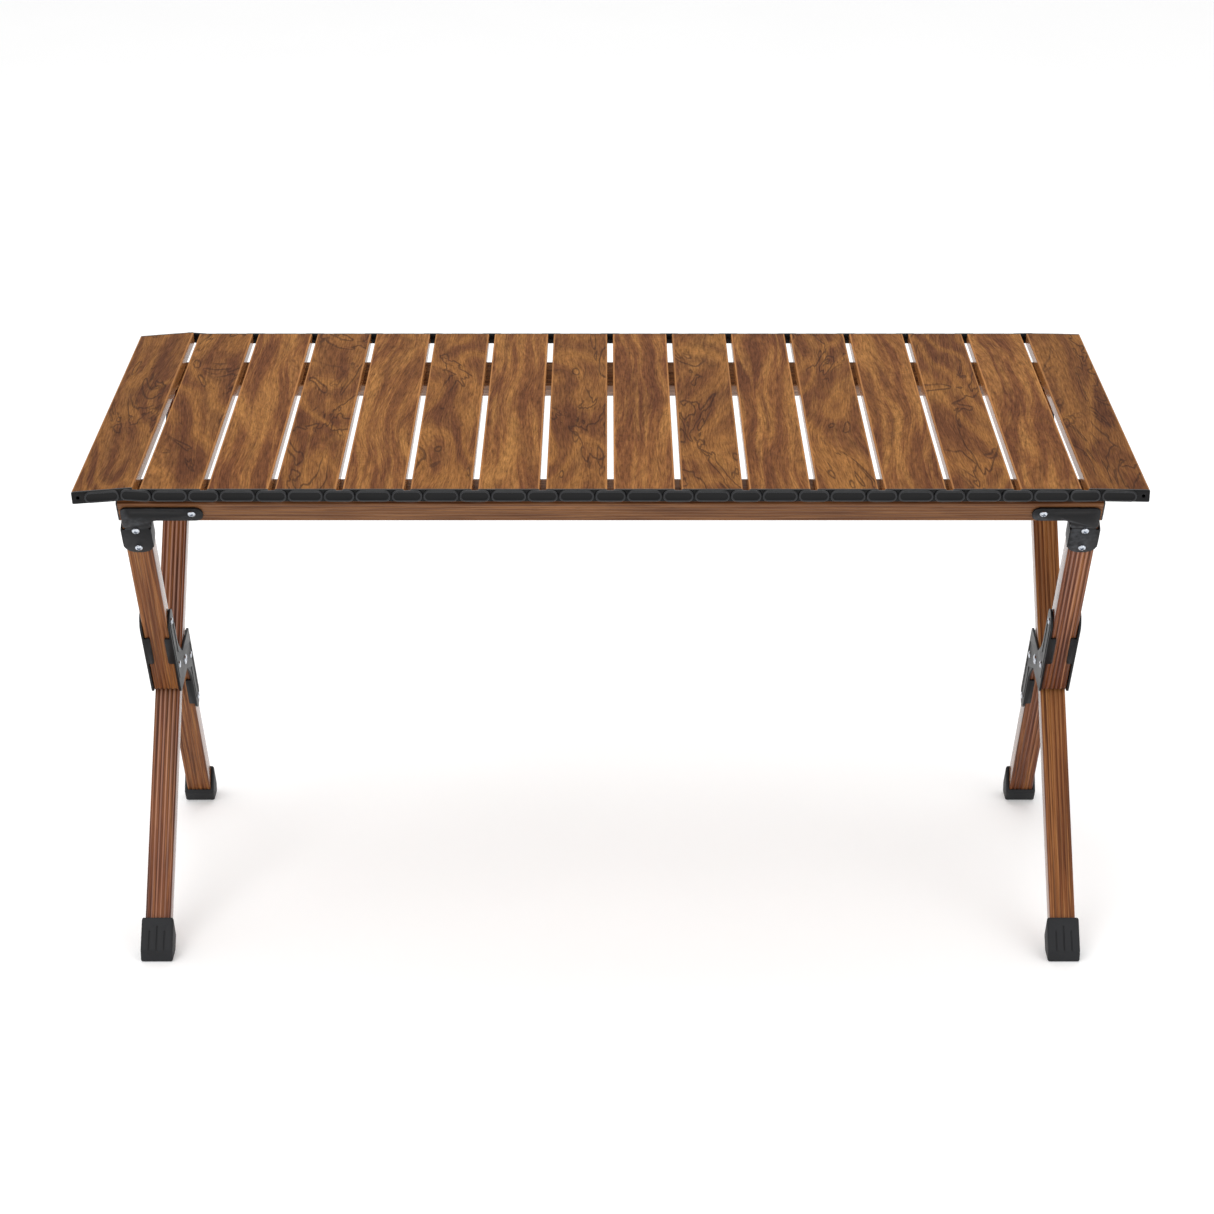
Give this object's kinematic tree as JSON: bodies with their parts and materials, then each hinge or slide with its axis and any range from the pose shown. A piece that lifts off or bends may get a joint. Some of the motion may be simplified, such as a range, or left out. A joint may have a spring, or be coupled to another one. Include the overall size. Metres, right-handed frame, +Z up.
{
  "type": "folding picnic table",
  "caption": "Low folding picnic table: a roll-up slatted top with linked end caps lies on the rails of a hinged X frame with L-shaped corner brackets and rubber feet.",
  "frame": {"origin": "on the floor under the middle of the table top", "axes": "+X along the table's length, to the right seen from the front; +Y from the front edge to the back edge; +Z up"},
  "size_m": [1.1934, 0.606, 0.6149],
  "materials": {
    "slat_woodgrain": "aluminium slat with a satin walnut wood-grain print",
    "frame_woodgrain": "extruded aluminium tube with a satin red-brown wood-grain print and fine lengthwise flutes",
    "cap_plastic": "black moulded plastic, satin",
    "black_steel": "black powder coat, satin",
    "zinc_steel": "bright zinc plate",
    "foot_rubber": "matt black rubber"
  },
  "bodies": {
    "front_frame": {"front_rail": "frame_woodgrain", "front_rail_cap_left": "cap_plastic", "front_rail_cap_right": "cap_plastic", "front_corner_bracket_left": "black_steel", "front_corner_bracket_right": "black_steel", "leg_a_upper_left": "frame_woodgrain", "leg_a_upper_right": "frame_woodgrain", "leg_a_lower_left": "frame_woodgrain", "leg_a_lower_right": "frame_woodgrain", "joint_plate_outer_left": "black_steel", "joint_plate_inner_left": "black_steel", "joint_plate_outer_right": "black_steel", "joint_plate_inner_right": "black_steel", "pivot_rivet_left": "zinc_steel", "pivot_rivet_right": "zinc_steel", "back_foot_left": "foot_rubber", "back_foot_right": "foot_rubber"},
    "back_frame": {"back_rail": "frame_woodgrain", "back_rail_cap_left": "cap_plastic", "back_rail_cap_right": "cap_plastic", "back_corner_bracket_left": "black_steel", "back_corner_bracket_right": "black_steel", "leg_b_left": "frame_woodgrain", "leg_b_right": "frame_woodgrain", "pivot_bush_left": "cap_plastic", "pivot_bush_right": "cap_plastic", "front_foot_left": "foot_rubber", "front_foot_right": "foot_rubber"},
    "slat_01": {"slat_01": "slat_woodgrain"},
    "slat_02": {"slat_02": "slat_woodgrain"},
    "slat_03": {"slat_03": "slat_woodgrain"},
    "slat_04": {"slat_04": "slat_woodgrain"},
    "slat_05": {"slat_05": "slat_woodgrain"},
    "slat_06": {"slat_06": "slat_woodgrain"},
    "slat_07": {"slat_07": "slat_woodgrain"},
    "slat_08": {"slat_08": "slat_woodgrain"},
    "slat_09": {"slat_09": "slat_woodgrain"},
    "slat_10": {"slat_10": "slat_woodgrain"},
    "slat_11": {"slat_11": "slat_woodgrain"},
    "slat_12": {"slat_12": "slat_woodgrain"},
    "slat_13": {"slat_13": "slat_woodgrain"},
    "slat_14": {"slat_14": "slat_woodgrain"},
    "slat_15": {"slat_15": "slat_woodgrain"},
    "slat_16": {"slat_16": "slat_woodgrain"},
    "link_01": {"link_01": "cap_plastic"},
    "link_02": {"link_02": "cap_plastic"},
    "link_03": {"link_03": "cap_plastic"},
    "link_04": {"link_04": "cap_plastic"},
    "link_05": {"link_05": "cap_plastic"},
    "link_06": {"link_06": "cap_plastic"},
    "link_07": {"link_07": "cap_plastic"},
    "link_08": {"link_08": "cap_plastic"},
    "link_09": {"link_09": "cap_plastic"},
    "link_10": {"link_10": "cap_plastic"},
    "link_11": {"link_11": "cap_plastic"},
    "link_12": {"link_12": "cap_plastic"},
    "link_13": {"link_13": "cap_plastic"},
    "link_14": {"link_14": "cap_plastic"},
    "link_15": {"link_15": "cap_plastic"}
  },
  "joints": [
    {"name": "frame_fold", "type": "hinge", "parent": "front_frame", "child": "back_frame", "pos_m": [0, 0, 0.2882], "axis": [1, 0, 0], "range_deg": [0, 68]},
    {"name": "top_lift", "type": "slide", "parent": "front_frame", "child": "slat_16", "axis": [0, 0, 1], "range_m": [0, 0.345]},
    {"name": "link_15_on_slat_16", "type": "hinge", "parent": "slat_16", "child": "link_15", "pos_m": [0.5355, 0, 0.60635], "axis": [0, 1, 0], "range_deg": [0, 19.5]},
    {"name": "slat_15_on_link_15", "type": "hinge", "parent": "link_15", "child": "slat_15", "pos_m": [0.5145, 0, 0.606], "axis": [0, 1, 0], "range_deg": [0, 19.5]},
    {"name": "link_14_on_slat_15", "type": "hinge", "parent": "slat_15", "child": "link_14", "pos_m": [0.4605, 0, 0.606], "axis": [0, 1, 0], "range_deg": [0, 20.08]},
    {"name": "slat_14_on_link_14", "type": "hinge", "parent": "link_14", "child": "slat_14", "pos_m": [0.4395, 0, 0.606], "axis": [0, 1, 0], "range_deg": [0, 20.08]},
    {"name": "link_13_on_slat_14", "type": "hinge", "parent": "slat_14", "child": "link_13", "pos_m": [0.3855, 0, 0.606], "axis": [0, 1, 0], "range_deg": [0, 20.71]},
    {"name": "slat_13_on_link_13", "type": "hinge", "parent": "link_13", "child": "slat_13", "pos_m": [0.3645, 0, 0.606], "axis": [0, 1, 0], "range_deg": [0, 20.71]},
    {"name": "link_12_on_slat_13", "type": "hinge", "parent": "slat_13", "child": "link_12", "pos_m": [0.3105, 0, 0.606], "axis": [0, 1, 0], "range_deg": [0, 21.4]},
    {"name": "slat_12_on_link_12", "type": "hinge", "parent": "link_12", "child": "slat_12", "pos_m": [0.2895, 0, 0.606], "axis": [0, 1, 0], "range_deg": [0, 21.4]},
    {"name": "link_11_on_slat_12", "type": "hinge", "parent": "slat_12", "child": "link_11", "pos_m": [0.2355, 0, 0.606], "axis": [0, 1, 0], "range_deg": [0, 22.18]},
    {"name": "slat_11_on_link_11", "type": "hinge", "parent": "link_11", "child": "slat_11", "pos_m": [0.2145, 0, 0.606], "axis": [0, 1, 0], "range_deg": [0, 22.18]},
    {"name": "link_10_on_slat_11", "type": "hinge", "parent": "slat_11", "child": "link_10", "pos_m": [0.1605, 0, 0.606], "axis": [0, 1, 0], "range_deg": [0, 23.04]},
    {"name": "slat_10_on_link_10", "type": "hinge", "parent": "link_10", "child": "slat_10", "pos_m": [0.1395, 0, 0.606], "axis": [0, 1, 0], "range_deg": [0, 23.04]},
    {"name": "link_09_on_slat_10", "type": "hinge", "parent": "slat_10", "child": "link_09", "pos_m": [0.0855, 0, 0.606], "axis": [0, 1, 0], "range_deg": [0, 24.02]},
    {"name": "slat_09_on_link_09", "type": "hinge", "parent": "link_09", "child": "slat_09", "pos_m": [0.0645, 0, 0.606], "axis": [0, 1, 0], "range_deg": [0, 24.02]},
    {"name": "link_08_on_slat_09", "type": "hinge", "parent": "slat_09", "child": "link_08", "pos_m": [0.0105, 0, 0.606], "axis": [0, 1, 0], "range_deg": [0, 25.14]},
    {"name": "slat_08_on_link_08", "type": "hinge", "parent": "link_08", "child": "slat_08", "pos_m": [-0.0105, 0, 0.606], "axis": [0, 1, 0], "range_deg": [0, 25.14]},
    {"name": "link_07_on_slat_08", "type": "hinge", "parent": "slat_08", "child": "link_07", "pos_m": [-0.0645, 0, 0.606], "axis": [0, 1, 0], "range_deg": [0, 26.45]},
    {"name": "slat_07_on_link_07", "type": "hinge", "parent": "link_07", "child": "slat_07", "pos_m": [-0.0855, 0, 0.606], "axis": [0, 1, 0], "range_deg": [0, 26.45]},
    {"name": "link_06_on_slat_07", "type": "hinge", "parent": "slat_07", "child": "link_06", "pos_m": [-0.1395, 0, 0.606], "axis": [0, 1, 0], "range_deg": [0, 27.98]},
    {"name": "slat_06_on_link_06", "type": "hinge", "parent": "link_06", "child": "slat_06", "pos_m": [-0.1605, 0, 0.606], "axis": [0, 1, 0], "range_deg": [0, 27.98]},
    {"name": "link_05_on_slat_06", "type": "hinge", "parent": "slat_06", "child": "link_05", "pos_m": [-0.2145, 0, 0.606], "axis": [0, 1, 0], "range_deg": [0, 29.84]},
    {"name": "slat_05_on_link_05", "type": "hinge", "parent": "link_05", "child": "slat_05", "pos_m": [-0.2355, 0, 0.606], "axis": [0, 1, 0], "range_deg": [0, 29.84]},
    {"name": "link_04_on_slat_05", "type": "hinge", "parent": "slat_05", "child": "link_04", "pos_m": [-0.2895, 0, 0.606], "axis": [0, 1, 0], "range_deg": [0, 32.14]},
    {"name": "slat_04_on_link_04", "type": "hinge", "parent": "link_04", "child": "slat_04", "pos_m": [-0.3105, 0, 0.606], "axis": [0, 1, 0], "range_deg": [0, 32.14]},
    {"name": "link_03_on_slat_04", "type": "hinge", "parent": "slat_04", "child": "link_03", "pos_m": [-0.3645, 0, 0.606], "axis": [0, 1, 0], "range_deg": [0, 35.1]},
    {"name": "slat_03_on_link_03", "type": "hinge", "parent": "link_03", "child": "slat_03", "pos_m": [-0.3855, 0, 0.606], "axis": [0, 1, 0], "range_deg": [0, 35.1]},
    {"name": "link_02_on_slat_03", "type": "hinge", "parent": "slat_03", "child": "link_02", "pos_m": [-0.4395, 0, 0.606], "axis": [0, 1, 0], "range_deg": [0, 39.14]},
    {"name": "slat_02_on_link_02", "type": "hinge", "parent": "link_02", "child": "slat_02", "pos_m": [-0.4605, 0, 0.606], "axis": [0, 1, 0], "range_deg": [0, 39.14]},
    {"name": "link_01_on_slat_02", "type": "hinge", "parent": "slat_02", "child": "link_01", "pos_m": [-0.5145, 0, 0.606], "axis": [0, 1, 0], "range_deg": [0, 45.16]},
    {"name": "slat_01_on_link_01", "type": "hinge", "parent": "link_01", "child": "slat_01", "pos_m": [-0.53545, 0, 0.6074], "axis": [0, 1, 0], "range_deg": [0, 44.76]}
  ],
  "couplings": [
    {"joint": "top_lift", "follows": "frame_fold", "m_per_rad": 0.29},
    {"joint": "link_15_on_slat_16", "follows": "slat_01_on_link_01", "ratio": 0.42681},
    {"joint": "slat_15_on_link_15", "follows": "slat_01_on_link_01", "ratio": 0.42681},
    {"joint": "link_14_on_slat_15", "follows": "slat_01_on_link_01", "ratio": 0.43963},
    {"joint": "slat_14_on_link_14", "follows": "slat_01_on_link_01", "ratio": 0.43963},
    {"joint": "link_13_on_slat_14", "follows": "slat_01_on_link_01", "ratio": 0.45369},
    {"joint": "slat_13_on_link_13", "follows": "slat_01_on_link_01", "ratio": 0.45369},
    {"joint": "link_12_on_slat_13", "follows": "slat_01_on_link_01", "ratio": 0.46922},
    {"joint": "slat_12_on_link_12", "follows": "slat_01_on_link_01", "ratio": 0.46922},
    {"joint": "link_11_on_slat_12", "follows": "slat_01_on_link_01", "ratio": 0.48648},
    {"joint": "slat_11_on_link_11", "follows": "slat_01_on_link_01", "ratio": 0.48648},
    {"joint": "link_10_on_slat_11", "follows": "slat_01_on_link_01", "ratio": 0.50582},
    {"joint": "slat_10_on_link_10", "follows": "slat_01_on_link_01", "ratio": 0.50582},
    {"joint": "link_09_on_slat_10", "follows": "slat_01_on_link_01", "ratio": 0.52771},
    {"joint": "slat_09_on_link_09", "follows": "slat_01_on_link_01", "ratio": 0.52771},
    {"joint": "link_08_on_slat_09", "follows": "slat_01_on_link_01", "ratio": 0.55278},
    {"joint": "slat_08_on_link_08", "follows": "slat_01_on_link_01", "ratio": 0.55278},
    {"joint": "link_07_on_slat_08", "follows": "slat_01_on_link_01", "ratio": 0.58186},
    {"joint": "slat_07_on_link_07", "follows": "slat_01_on_link_01", "ratio": 0.58186},
    {"joint": "link_06_on_slat_07", "follows": "slat_01_on_link_01", "ratio": 0.6162},
    {"joint": "slat_06_on_link_06", "follows": "slat_01_on_link_01", "ratio": 0.6162},
    {"joint": "link_05_on_slat_06", "follows": "slat_01_on_link_01", "ratio": 0.65762},
    {"joint": "slat_05_on_link_05", "follows": "slat_01_on_link_01", "ratio": 0.65762},
    {"joint": "link_04_on_slat_05", "follows": "slat_01_on_link_01", "ratio": 0.709},
    {"joint": "slat_04_on_link_04", "follows": "slat_01_on_link_01", "ratio": 0.709},
    {"joint": "link_03_on_slat_04", "follows": "slat_01_on_link_01", "ratio": 0.77523},
    {"joint": "slat_03_on_link_03", "follows": "slat_01_on_link_01", "ratio": 0.77523},
    {"joint": "link_02_on_slat_03", "follows": "slat_01_on_link_01", "ratio": 0.86548},
    {"joint": "slat_02_on_link_02", "follows": "slat_01_on_link_01", "ratio": 0.86548},
    {"joint": "link_01_on_slat_02", "follows": "slat_01_on_link_01", "ratio": 1}
  ]
}
